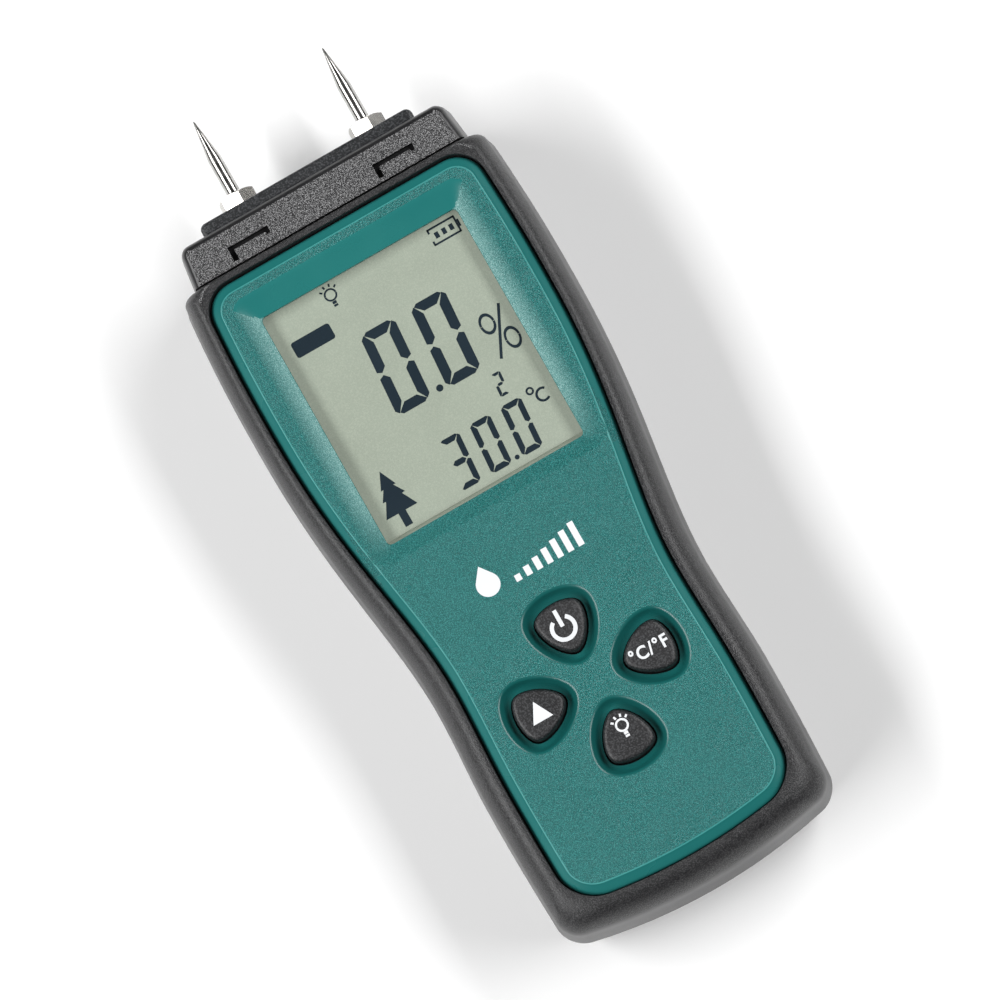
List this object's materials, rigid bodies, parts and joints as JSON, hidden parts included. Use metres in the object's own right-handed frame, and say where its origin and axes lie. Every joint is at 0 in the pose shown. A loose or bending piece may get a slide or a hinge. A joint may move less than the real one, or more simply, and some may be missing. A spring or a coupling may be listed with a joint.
{
  "type": "moisture meter",
  "caption": "Handheld pin moisture meter: waisted two-part case, display window, rounded triangular keys, and needle electrodes at the head.",
  "frame": {"origin": "middle of the flat back that the meter lies on, half way between the pin tips and the grip's end", "axes": "+Y towards the pins, +Z out of the front face, +X to the right seen from the front"},
  "size_m": [0.0618, 0.1596, 0.0276],
  "materials": {
    "teal_shell": "moulded teal plastic with a fine spark grain, smooth on the bevels",
    "black_shell": "moulded black plastic, fine grain with a soft sheen",
    "block": "smooth blue-black moulded plastic",
    "needle": "ground and polished steel",
    "nickel": "nickel plated, bright",
    "brass": "turned",
    "contact": "nickel plated spring strip",
    "lens": "clear acrylic, glossy",
    "display": "grey-green liquid crystal panel",
    "white_plastic": "plain white moulding",
    "diffuser": "milky light guide",
    "connector": "layered conductive rubber strip",
    "board": "green solder mask",
    "epoxy": "black potting resin",
    "key_rubber": "moulded black silicone with a dry surface",
    "cell": "printed metal sleeve",
    "screw": "zinc plated"
  },
  "bodies": {
    "case": {"front_cover": "teal_shell", "front_case": "black_shell", "rear_case": "black_shell", "electrode_block": "block", "pin_left": "needle", "pin_right": "needle", "pin_nut_left": "nickel", "pin_nut_right": "nickel", "pin_socket_left": "brass", "pin_socket_right": "brass", "pin_terminal_left": "contact", "pin_terminal_right": "contact", "window_lens": "lens", "display_glass": "display", "display_frame": "white_plastic", "backlight": "diffuser", "display_connector": "connector", "main_board": "board", "controller_chip": "epoxy", "temperature_sensor": "epoxy", "keypad_mat": "key_rubber", "battery_1": "cell", "battery_2": "cell", "battery_3": "cell", "contact_positive": "contact", "contact_bridge_top": "contact", "contact_bridge_bottom": "contact", "contact_negative": "contact", "case_screw_1": "screw", "board_screw_1": "screw", "case_screw_2": "screw", "board_screw_2": "screw", "case_screw_3": "screw", "board_screw_3": "screw", "case_screw_4": "screw", "board_screw_4": "screw"},
    "key_power": {"key_power": "key_rubber"},
    "key_up": {"key_up": "key_rubber"},
    "key_light": {"key_light": "key_rubber"},
    "key_units": {"key_units": "key_rubber"},
    "battery_cover": {"battery_cover": "black_shell"}
  },
  "joints": [
    {"name": "key_power_press", "type": "slide", "parent": "case", "child": "key_power", "axis": [0, 0, -1], "range_m": [0, 0.0008], "stiffness_N_per_m": 1200},
    {"name": "key_up_press", "type": "slide", "parent": "case", "child": "key_up", "axis": [0, 0, -1], "range_m": [0, 0.0008], "stiffness_N_per_m": 1200},
    {"name": "key_light_press", "type": "slide", "parent": "case", "child": "key_light", "axis": [0, 0, -1], "range_m": [0, 0.0008], "stiffness_N_per_m": 1200},
    {"name": "key_units_press", "type": "slide", "parent": "case", "child": "key_units", "axis": [0, 0, -1], "range_m": [0, 0.0008], "stiffness_N_per_m": 1200},
    {"name": "battery_cover_slide", "type": "slide", "parent": "case", "child": "battery_cover", "axis": [0, -1, 0], "range_m": [0, 0.062]}
  ]
}
